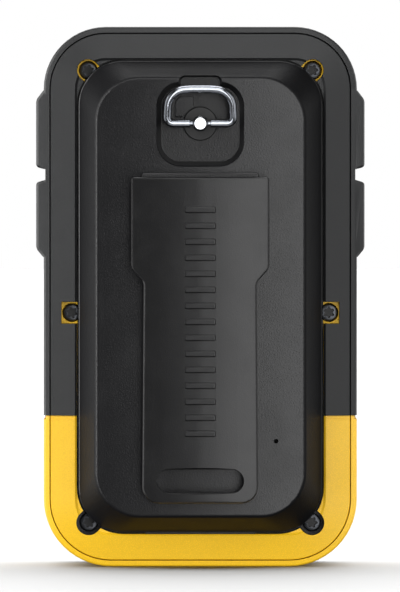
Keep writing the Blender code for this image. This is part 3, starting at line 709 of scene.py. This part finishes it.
def screws():
    profile = [(0, SCREW_TIP), (SHANK, SCREW_TIP), (SHANK, UNDER_HEAD - 0.05),
               (HEAD_RADIUS, UNDER_HEAD), (HEAD_RADIUS, HEAD_TOP - 0.3),
               (HEAD_RADIUS - 0.12, HEAD_TOP - 0.1), (HEAD_RADIUS - 0.32, HEAD_TOP),
               (0, HEAD_TOP)]
    for number, (name, x, z) in enumerate(screw_spots()):
        star = star_driver(x, z, FIRST_TURN + TURN_EACH * number)
        made = piece(f"case_screw_{name}", cut(turned(profile, x, z), star), "case",
                     SCREW_STEEL, f"screw_{name}")
        # The drive recess is painted near black as shade.
        second_finish(made, DRIVE_RECESS_SHADE, lambda place: place.y < HEAD_TOP - 0.05 and
                      math.hypot(place.x - x, place.z - z) < STAR_TIP + 0.02)


KEY_ROOT, KEY_EDGE, KEY_CORNER = 28.9, 0.45, 0.8
DISH_RIM, DISH_DEPTH = 0.7, 0.16
STEM, STEM_Y, STEM_REACH = (25.3, 29.4), (-9.6, -7.4), 1.4


def keys():
    """Rubber key caps, each with a shallow dish for the finger and a stem inside."""
    for level, z in KEY_LEVELS.items():
        for side, sign in SIDES:
            bm = block(*span(sign, KEY_ROOT, LOBE_OUT), KEY_FRONT, KEY_BACK,
                       z - KEY_HALF, z + KEY_HALF)
            soften(bm, edges_where(bm, lambda co: abs(co.x) > LOBE_OUT - 0.1), KEY_EDGE, 4)
            upright = [e for e in bm.edges
                       if abs(e.verts[0].co.x - e.verts[1].co.x) > 1.0]
            soften(bm, upright, KEY_CORNER, 4)
            face = max(bm.faces, key=lambda f: f.normal.x * sign * f.calc_area())
            step_in(bm, face, DISH_RIM, -DISH_DEPTH)
            bm = join(bm, block(*span(sign, *STEM), *STEM_Y, z - STEM_REACH, z + STEM_REACH))
            name = f"key_{level}_{side}"
            piece(f"cap_{level}_{side}", bm, name, KEY_BLACK, name)


# Battery cover and latch

def crown(bm, radius, base, top):
    """Bend what is flat at the top level, so that it falls away towards the sides."""
    for strip in range(-CROWN_STRIPS, CROWN_STRIPS):
        bmesh.ops.bisect_plane(bm, geom=bm.verts[:] + bm.edges[:] + bm.faces[:], dist=TINY,
                               plane_co=(2 * strip + 1, 0, 0), plane_no=(1, 0, 0))
    for vert in bm.verts:
        part = min((vert.co.y - base) / (top - base), 1.0)
        if part > 0:
            vert.co.y -= part * vert.co.x ** 2 / (2 * radius)


def flared_slab(half, low, high, corner, mouth, flare, depth, wall):
    """A tool for a recess: a chamfered mouth, then a wall that leans in to the floor."""
    wide = corner + flare
    bm, floor = rounded_slab(half + flare, low - flare, high + flare, wide, wide,
                             mouth + 2 * PAST, mouth)
    step_in(bm, floor, flare, flare)
    step_in(bm, floor, wall, depth - flare)
    return bm


def round_out(face, half, low, high, old, new):
    """Give a face with round corners a larger radius at each corner."""
    for vert in face.verts:
        side = math.copysign(1, vert.co.x)
        end = 1 if vert.co.z > (low + high) / 2 else -1
        level = high if end > 0 else low
        turn = math.atan2(end * (vert.co.z - level) + old, side * vert.co.x - half + old)
        vert.co.x = side * (half - new + new * math.cos(turn))
        vert.co.z = level - end * (new - new * math.sin(turn))


COVER_FOOT, FOOT_EDGE, FACE_ROUND = 3.6, 0.2, 0.5
ROOM_INSET, ROOM_OPEN, ROOM_STEP, ROOM_STEP_IN, ROOM_DEEP = 1.9, 2.0, 5.0, 2.2, 4.3
# Half width, low, high, and the lower and upper corner radius.
LATCH_WALLS, LATCH_WALLS_Y = (9.67, 74.2, 92.6, 5.5, 5.0), (5.9, 9.7)
RECESS, RECESS_FLARE, RECESS_LEAN, RECESS_FLOOR = (8.17, 75.8, 91.4, 4.5), 0.25, 0.77, 7.2
THUMB_NOTCH, NOTCH_MOUTH, NOTCH_LEAN, NOTCH_DEEP = (4.1, 87.0, 92.9, 0.5, 1.3), 11.0, 0.45, 2.6
STOP_PAD = (1.2, 4.7, 6.9, 8.6, 85.0, 88.8)      # x0, x1, y0, y1, z0, z1
STOP_PAD_CORNER, STOP_PAD_EDGE = 1.6, 0.2
DISC_CLEARANCE, SPINDLE_HOLE = 3.6, 1.4
UNDER_RECESS, OVER_RECESS, OVER_PAD = 5, 9, 10
DIMPLE, DIMPLE_AT, DIMPLE_FLOOR = 1.35, (-4.8, LATCH_Z + 4.7), 6.7
VENT, VENT_AT, VENT_FROM = 0.45, (-14.25, 23.9), 8
TONGUE = (-10.4, 10.4, 3.6, 4.6, 5.5, 7.5)
FACE_MARGIN = 0.3                # how far the slope's finish runs in over its rounded rim


def battery_cover():
    bm, face = cover_slab(0.0, COVER_FOOT, RING_BACK)
    soften(bm, face.edges[:], FOOT_EDGE, 2)
    top = rear_face(bm)
    step_in(bm, top, SLOPE_WIDE, FACE_CROWN - RING_BACK)
    round_out(top, *FACE_OUTLINE, COVER_CORNER - SLOPE_WIDE, FACE_CORNER)
    soften(bm, top.edges[:], FACE_ROUND)
    crown(bm, CROWN_RADIUS, RING_BACK, FACE_CROWN)
    room, roof = cover_slab(ROOM_INSET, ROOM_OPEN, ROOM_STEP)
    step_in(room, roof, ROOM_STEP_IN, ROOM_DEEP)
    bm = join(cut(bm, room), rounded_slab(*LATCH_WALLS, *LATCH_WALLS_Y)[0])
    recess = flared_slab(*RECESS, FACE_CROWN, RECESS_FLARE, FACE_CROWN - RECESS_FLOOR,
                         RECESS_LEAN)
    notch, under = rounded_slab(*THUMB_NOTCH, OPEN_BACK, NOTCH_MOUTH, 6)
    step_in(notch, under, NOTCH_LEAN, NOTCH_DEEP)
    bm = join(cut(bm, recess, notch), stop_pad())
    bm = cut(bm, drum(*DIMPLE_AT, DIMPLE, DIMPLE_FLOOR, OVER_RECESS),
             drum(0, LATCH_Z, SPINDLE_HOLE, UNDER_RECESS, OVER_RECESS),
             drum(*VENT_AT, VENT, VENT_FROM, OPEN_BACK, FINE_STEPS))
    bm = join(bm, block(*TONGUE))
    shell = piece("cover_shell", bm, "cover", COVER_GREY, "battery_cover")
    second_finish(shell, SLOPE_GREY, on_slope)


def stop_pad():
    """The raised pad in the recess, cut round the latch's disc."""
    far_x, top_y, top_z = STOP_PAD[1], STOP_PAD[3], STOP_PAD[5]
    pad = block(*STOP_PAD)
    soften(pad, edges_where(pad, lambda co: co.x > far_x - 0.1 and co.z > top_z - 0.1),
           STOP_PAD_CORNER, 6)
    soften(pad, edges_where(pad, lambda co: co.y > top_y - 0.1), STOP_PAD_EDGE, 2)
    return cut(pad, drum(0, LATCH_Z, DISC_CLEARANCE, UNDER_RECESS, OVER_PAD))


def on_slope(place):
    """True on the slope between the cover's foot and its face."""
    beyond = outside_by(place, *FACE_OUTLINE, FACE_CORNER)
    return RING_BACK < place.y < FACE_CROWN and beyond > -FACE_MARGIN


SPINDLE = [(0, -0.6), (1.1, -0.6), (1.1, 7.5), (3.2, 7.5), (3.2, 7.95), (3.05, 8.1),
           (1.5, 8.1), (1.5, 11.95), (1.45, 12.05), (1.15, 12.4), (1.08, 12.5), (0, 12.5)]
DISC_TOP = 8.15
RING_HOLE = 0.75


def latch_spindle():
    hole = drum(0, 0, RING_HOLE, -3, 3, FINE_STEPS)
    bmesh.ops.rotate(hole, cent=(0, 0, 0), matrix=Matrix.Rotation(math.radians(90), 3, "Z"),
                     verts=hole.verts[:])
    bmesh.ops.translate(hole, vec=(0, RING_AXIS_Y, LATCH_Z), verts=hole.verts[:])
    made = piece("spindle", cut(turned(SPINDLE, 0, LATCH_Z), hole), "latch", SPINDLE_STEEL,
                 "latch_spindle")
    second_finish(made, DISC_BLACK, lambda place: place.y < DISC_TOP)


WIRE, PIN = 0.76, 0.48           # the wire's radius, and its thinner ends
PIN_FROM, PIN_TO, WIRE_FROM, WIRE_TO = 1.0, 1.9, 2.0, 3.4
RING_HALF, RING_REACH = 6.27, 6.5
LOW_BEND, HIGH_BEND, BEND_STEPS = 1.3, 3.2, 10
LEAN = 0.4                       # how far the sides come in towards the top
RING_TOP, RING_RISE = 1.6, 0.06
RING_TILT = -10                  # degrees, as it rests against the cover


def ring_run():
    """The D's right half and then its left, as (x, z, radius) along the wire."""
    run = [(PIN_FROM, 0.0, PIN), (PIN_TO, 0.0, PIN), (WIRE_FROM, 0.0, WIRE), (WIRE_TO, 0.0, WIRE)]
    for x, z, radius, start in ((RING_HALF - LOW_BEND, LOW_BEND, LOW_BEND, -90),
                                (RING_HALF - HIGH_BEND, RING_REACH - HIGH_BEND, HIGH_BEND, 0)):
        for step in range(BEND_STEPS + 1):
            angle = math.radians(start + 90 * step / BEND_STEPS)
            height = z + radius * math.sin(angle)
            run.append((x + radius * math.cos(angle) - LEAN * height / RING_REACH, height, WIRE))
    run.append((RING_TOP, RING_REACH + RING_RISE, WIRE))
    return run + [(-x, z, radius) for x, z, radius in reversed(run)]


def latch_ring():
    """The D shaped wire: a swept round, thinner at its two pins."""
    run = ring_run()
    tilt = Matrix.Rotation(math.radians(RING_TILT), 3, "X")
    centre = Vector((0, RING_AXIS_Y, LATCH_Z))
    curve = bpy.data.curves.new("ring_wire", "CURVE")
    curve.dimensions, curve.bevel_depth, curve.bevel_resolution = "3D", 1.0, 6
    curve.use_fill_caps = True
    spline = curve.splines.new("POLY")
    spline.points.add(len(run) - 1)
    for point, (x, z, radius) in zip(spline.points, run):
        point.co = (*(centre + tilt @ Vector((x, 0, z))), 1.0)
        point.radius = radius
    wire_object = bpy.data.objects.new("ring_wire", curve)
    bpy.context.scene.collection.objects.link(wire_object)
    shaped = wire_object.evaluated_get(bpy.context.evaluated_depsgraph_get())
    bm = bmesh.new()
    bm.from_mesh(shaped.to_mesh())
    bpy.data.objects.remove(wire_object)
    bpy.data.curves.remove(curve)
    bmesh.ops.remove_doubles(bm, verts=bm.verts[:], dist=NEAR)
    bmesh.ops.recalc_face_normals(bm, faces=bm.faces[:])
    piece("latch_wire", bm, "ring", CHROME, "latch_ring")


# Belt clip

CLIP_INNER = 14.2
WIDE_FROM, NARROW_TO = 56.6, 53.9        # the step in the clip's sides
NARROW_HALF, NARROW_FLARE = 10.6, 0.3
TIP_CORNER, STEP_CORNER, TOP_CORNER, PLATE_EDGE = 3.2, 0.6, 0.5, 0.5
CROWN_FROM = 0.6
CLIP_SLOT, SLOT_FLARE, SLOT_DEEP = (8.2, 14.4, 18.8, 2.15), 0.3, 3.0
NUB_HALF, NUB_FROM, NUB_TO, NUB_EDGE = 7.0, 0.3, 1.5, 0.25
RIBS, RIB_FROM, RIB_PITCH, RIB_HALF_WIDE, RIB_HALF_TALL = 15, 25.5, 3.0, 2.9, 0.6
RIB_RISE, RIB_ROOT, RIB_EDGE = 0.32, 1.2, 0.28
MOUNT_EDGE = 0.35


def clip_outline(low, top):
    half = [(CLIP_HI.x, top), (CLIP_HI.x, WIDE_FROM), (NARROW_HALF, NARROW_TO),
            (NARROW_HALF + NARROW_FLARE, low)]
    return half + [(-x, z) for x, z in reversed(half)]


def soften_corners(bm, low, high, width, segments):
    """Round the corners of an outline that lie between two heights."""
    corners = [e for e in bm.edges if abs(e.verts[0].co.y - e.verts[1].co.y) > 1
               and low < e.verts[0].co.z < high]
    soften(bm, corners, width, segments)


def belt_clip():
    """The clip's arm: a crowned plate with a slot, grip ribs and an inturned tip."""
    low, top, outer = CLIP_LO.z, CLIP_HI.z, CLIP_HI.y
    plate = outer - RIB_RISE
    bm = polygon_slab(clip_outline(low, top), CLIP_INNER, plate)
    soften_corners(bm, low - 1, low + 1, TIP_CORNER, 10)
    soften_corners(bm, NARROW_TO - 1, WIDE_FROM + 1, STEP_CORNER, 3)
    soften_corners(bm, top - 1, top + 1, TOP_CORNER, 3)
    soften(bm, max(bm.faces, key=lambda f: f.normal.y).edges[:], PLATE_EDGE, 2)
    crown(bm, CLIP_CROWN_RADIUS, CLIP_INNER + CROWN_FROM, plate)
    bm = cut(bm, flared_slab(*CLIP_SLOT, plate, SLOT_FLARE, SLOT_DEEP, 0.0))
    bm = join(bm, block(-NUB_HALF, NUB_HALF, CLIP_LO.y, CLIP_INNER + 0.5, low + NUB_FROM,
                        low + NUB_TO, NUB_EDGE))
    for rib in range(RIBS):
        z = RIB_FROM + RIB_PITCH * rib
        bm = join(bm, block(-RIB_HALF_WIDE, RIB_HALF_WIDE, plate - RIB_ROOT, outer,
                            z - RIB_HALF_TALL, z + RIB_HALF_TALL, RIB_EDGE))
    piece("clip_arm", bm, "clip", CLIP_GREY, "belt_clip")
    lo, hi = node_box("clip_mount")
    mount = block(lo.x, hi.x, lo.y, hi.y, lo.z, hi.z, MOUNT_EDGE)
    piece("clip_pedestal", mount, "cover", COVER_GREY, "clip_mount")


# Display side

LENS_CORNER, LENS_EDGE = 4.0, 0.25
SCREEN_MIDDLE, SCREEN_HALF_WIDE, SCREEN_HALF_TALL = 52.0, 18.5, 29.5


def display_lens():
    lo, hi = node_box("display_lens")
    bm, face = rounded_slab(hi.x, lo.z, hi.z, LENS_CORNER, LENS_CORNER, hi.y, lo.y)
    soften(bm, face.edges[:], LENS_EDGE)
    piece("display_window", bm, "case", window_material(), "display_lens")


def window_material():
    """Dark glass over a screen that shows plain contour lines."""
    made = bpy.data.materials.new("display_window")
    made.use_nodes = True
    tree = made.node_tree
    shader = tree.nodes["Principled BSDF"]
    place = tree.nodes.new("ShaderNodeTexCoord").outputs["Object"]
    axes = tree.nodes.new("ShaderNodeSeparateXYZ")
    tree.links.new(place, axes.inputs["Vector"])
    across = maths(tree, "ABSOLUTE", axes.outputs["X"], 0.0)
    along = maths(tree, "ABSOLUTE", maths(tree, "SUBTRACT", axes.outputs["Z"],
                                           SCREEN_MIDDLE * MM), 0.0)
    inside = maths(tree, "MULTIPLY",
                   maths(tree, "LESS_THAN", across, SCREEN_HALF_WIDE * MM),
                   maths(tree, "LESS_THAN", along, SCREEN_HALF_TALL * MM))
    hills = texture(tree, "ShaderNodeTexNoise", 38.0, place, Detail=1.5, Roughness=0.4)
    levels = maths(tree, "FRACT", maths(tree, "MULTIPLY", hills.outputs["Fac"], 22.0), 0.0)
    line = maths(tree, "LESS_THAN", levels, 0.12)
    ground = mix_colours(tree, remap(tree, hills.outputs["Fac"], 0.3, 0.7),
                         shade(96, 112, 96), shade(142, 146, 118))
    chart = mix_colours(tree, line, ground, shade(92, 74, 52))
    colour = mix_colours(tree, inside, shade(14, 14, 16), chart)
    tree.links.new(colour, shader.inputs["Base Color"])
    smears = texture(tree, "ShaderNodeTexNoise", 120.0, place, Detail=5.0, Roughness=0.6)
    tree.links.new(remap(tree, smears.outputs["Fac"], 0.3, 0.8, 0.05, 0.16),
                   shader.inputs["Roughness"])
    shader.inputs["Coat Weight"].default_value = 0.6
    return made


# The nodes kept from the frame get finishes of their own

JACKET_GREEN, JACKET_BAND = shade(38, 66, 52), shade(196, 154, 74)


def cell_jacket(name, low, high):
    """A printed jacket: green, with a plain coppery band between two heights."""
    made = moulded(name, JACKET_GREEN, 0.35, grain=2600.0, depth=0.002)
    tree = made.node_tree
    shader = tree.nodes["Principled BSDF"]
    place = tree.nodes.new("ShaderNodeTexCoord").outputs["Object"]
    axes = tree.nodes.new("ShaderNodeSeparateXYZ")
    tree.links.new(place, axes.inputs["Vector"])
    height = axes.outputs["Z"]
    inside = maths(tree, "MULTIPLY", maths(tree, "GREATER_THAN", height, low * MM),
                   maths(tree, "LESS_THAN", height, high * MM))
    old = shader.inputs["Base Color"].links[0].from_socket
    tree.links.new(mix_colours(tree, inside, old, JACKET_BAND), shader.inputs["Base Color"])
    return made


def board_material():
    """Green laminate with fine tracks."""
    made = moulded("board_laminate", shade(24, 88, 46), 0.4, grain=1200.0, depth=0.002)
    tree = made.node_tree
    shader = tree.nodes["Principled BSDF"]
    place = tree.nodes.new("ShaderNodeTexCoord").outputs["Object"]
    tracks = texture(tree, "ShaderNodeTexVoronoi", 420.0, place, distance="MANHATTAN",
                     feature="DISTANCE_TO_EDGE", Randomness=0.8)
    line = maths(tree, "LESS_THAN", tracks.outputs["Distance"], 0.05)
    old = shader.inputs["Base Color"].links[0].from_socket
    tree.links.new(mix_colours(tree, line, old, shade(60, 132, 74)), shader.inputs["Base Color"])
    return made


def finish_kept_nodes():
    finishes = {
        "lens_gasket": SEAL_BLACK, "housing_seal": SEAL_BLACK, "cover_gasket": SEAL_BLACK,
        "latch_o_ring": SEAL_BLACK, "display_frame": SCREW_STEEL, "display_ribbon": RIBBON,
        "shield_can": CONTACT_STEEL, "patch_antenna": CERAMIC, "buzzer": CASE_BLACK,
        "usb_socket": CONTACT_STEEL, "vent_membrane": FILM, "latch_cross_bar": SCREW_STEEL,
        "latch_retainer": CONTACT_STEEL, "contact_bridge": CONTACT_STEEL,
        "contact_positive": CONTACT_STEEL, "contact_negative": CONTACT_STEEL,
        "spring_lower": CONTACT_STEEL, "spring_upper": CONTACT_STEEL,
        "main_board": board_material(),
        "display_module": moulded("display_glass", shade(66, 74, 66), 0.15, depth=0.001),
        "cell_left": cell_jacket("cell_left_jacket", 11, 26),
        "cell_right": cell_jacket("cell_right_jacket", 49, 64.1),
    }
    for level in KEY_LEVELS:
        for side, _ in SIDES:
            finishes[f"switch_{level}_{side}"] = SCREW_STEEL
    for node, finish in finishes.items():
        kept = frame["nodes"][node]
        for index in range(len(kept.material_slots)):
            kept.material_slots[index].material = finish


# Stage

def panel(name, around, above, width, height, radiance, distance=1.2, only=(), never=()):
    """A soft panel aimed at the unit. Around is counted from the back's normal towards +X.

    It lights only the pieces named, or every piece but those in never. The floor has its
    own light.
    """
    aim = Vector((0, 0, LENGTH / 2 * MM))
    turn, rise = math.radians(around), math.radians(above)
    away = Vector((math.sin(turn) * math.cos(rise), math.cos(turn) * math.cos(rise),
                   math.sin(rise)))
    light = bpy.data.lights.new(name, "AREA")
    light.shape, light.size, light.size_y = "RECTANGLE", width, height
    light.energy = radiance * math.pi * width * height
    made = bpy.data.objects.new(name, light)
    made.location = aim + distance * away
    made.rotation_euler = (-away).to_track_quat("-Z", "Y").to_euler()
    bpy.context.scene.collection.objects.link(made)
    chosen = bpy.data.collections.new(f"{name}_receivers")
    for other in only or ("floor", *never):
        chosen.objects.link(bpy.data.objects[other])
    if not only:
        for entry in chosen.collection_objects:
            entry.light_linking.link_state = "EXCLUDE"
    made.light_linking.receiver_collection = chosen


FLOOR_HALF, FLOOR_DROP = 4.0, 0.00002    # metres; the drop keeps the floor off the unit
FLOOR_SUN, FLOOR_SUN_ANGLE, FLOOR_SUN_TILT = 14.5, 135, 50


def stage():
    bm = bmesh.new()
    bmesh.ops.create_grid(bm, x_segments=1, y_segments=1, size=FLOOR_HALF)
    floor = as_object("floor", bm)
    floor.location.z = -FLOOR_DROP
    paper = bpy.data.materials.new("paper")
    paper.use_nodes = True
    shader = paper.node_tree.nodes["Principled BSDF"]
    shader.inputs["Base Color"].default_value = shade(150, 150, 150)
    shader.inputs["Roughness"].default_value = 0.9
    shader.inputs["Specular IOR Level"].default_value = 0.1
    floor.data.materials.append(paper)
    floor.visible_diffuse = floor.visible_glossy = floor.visible_shadow = False
    only_floor = bpy.data.collections.new("floor_light_receivers")
    only_floor.objects.link(floor)
    sun = bpy.data.lights.new("floor_light", "SUN")
    sun.energy, sun.angle = FLOOR_SUN, math.radians(FLOOR_SUN_ANGLE)
    lamp = bpy.data.objects.new("floor_light", sun)
    lamp.rotation_euler = (math.radians(FLOOR_SUN_TILT), 0, 0)
    bpy.context.scene.collection.objects.link(lamp)
    lamp.light_linking.receiver_collection = only_floor


WORLD_LIGHT = 0.05


def world():
    """White to the camera, and dimmer as a light."""
    made = bpy.data.worlds.new("studio")
    made.use_nodes = True
    tree = made.node_tree
    ground = tree.nodes["Background"]
    ground.inputs["Color"].default_value = (1, 1, 1, 1)
    path = tree.nodes.new("ShaderNodeLightPath")
    tree.links.new(remap(tree, path.outputs["Is Camera Ray"], 0, 1, WORLD_LIGHT, 1.0),
                   ground.inputs["Strength"])
    bpy.context.scene.world = made
    bpy.context.scene.view_settings.view_transform = "Standard"


BRIGHT_METAL = ("latch_wire", "spindle")
OUTER_CASE = ("front_shell", "display_window", "band_upper", "band_lower", "cap_upper_left",
              "cap_upper_right", "cap_lower_left", "cap_lower_right")


def lights():
    """Each panel's name, place around and above, width, height in metres, and radiance."""
    panel("edge_panel", -8, 0, 0.22, 1.0, 3.0, never=BRIGHT_METAL)
    panel("right_panel", -20, 0, 0.30, 1.0, 2.6, never=BRIGHT_METAL)
    panel("left_fill", 55, 10, 0.7, 1.2, 5.6, never=BRIGHT_METAL)
    panel("right_fill", -55, 10, 0.7, 1.2, 0.6)
    panel("left_side", 105, 0, 0.7, 1.2, 1.2)
    panel("right_side", -105, 0, 0.7, 1.2, 0.7)
    panel("overhead", 0, 100, 1.0, 0.7, 2.4)
    panel("high_front", 0, 40, 1.0, 0.5, 2.2)
    panel("low_front", 0, -40, 1.0, 0.5, 0.35)
    panel("metal_panel", 3, 3, 1.3, 1.3, 3.0, distance=1.8, only=BRIGHT_METAL)
    for name, around, above in (("left", 75, 0), ("right", -75, 0), ("high", 0, 75),
                                ("low", 0, -75)):
        panel(f"metal_{name}", around, above, 1.5, 1.5, 0.25, only=BRIGHT_METAL)
    panel("yellow_panel", -45, 0, 0.5, 1.0, 3.0, only=("rear_shell", "band_lower"))
    panel("case_left", 90, 5, 0.8, 1.2, 2.5, only=OUTER_CASE)
    panel("case_right", -90, 5, 0.8, 1.2, 2.5, only=OUTER_CASE)
    panel("display_left", 150, 10, 0.6, 1.2, 2.5)
    panel("display_right", -160, 10, 0.5, 1.2, 2.0)
    panel("display_top", 180, 45, 1.2, 0.6, 2.5)


# The camera, in metres: how far off, what height it takes in, and where it aims.
CAMERA_DISTANCE, VIEW_HEIGHT, SENSOR = 1.5, 0.1122, 36.0
CAMERA_AIM, CAMERA_RISE = Vector((0.00006, 0, 0.05107)), math.radians(1)


def camera():
    data = bpy.data.cameras.new("camera")
    data.sensor_width = SENSOR
    data.lens = SENSOR * CAMERA_DISTANCE / VIEW_HEIGHT
    data.clip_start, data.clip_end = 0.05, 20.0
    made = bpy.data.objects.new("camera", data)
    away = Vector((0, math.cos(CAMERA_RISE), math.sin(CAMERA_RISE)))
    made.location = CAMERA_AIM + CAMERA_DISTANCE * away
    made.rotation_euler = (CAMERA_AIM - made.location).to_track_quat("-Z", "Y").to_euler()
    bpy.context.scene.collection.objects.link(made)
    bpy.context.scene.camera = made


camera()
world()
stage()
front_housing()
display_lens()
side_band()
lower_band()
rear_overlay()
rear_housing()
screws()
keys()
battery_cover()
latch_spindle()
latch_ring()
belt_clip()
finish_kept_nodes()
lights()
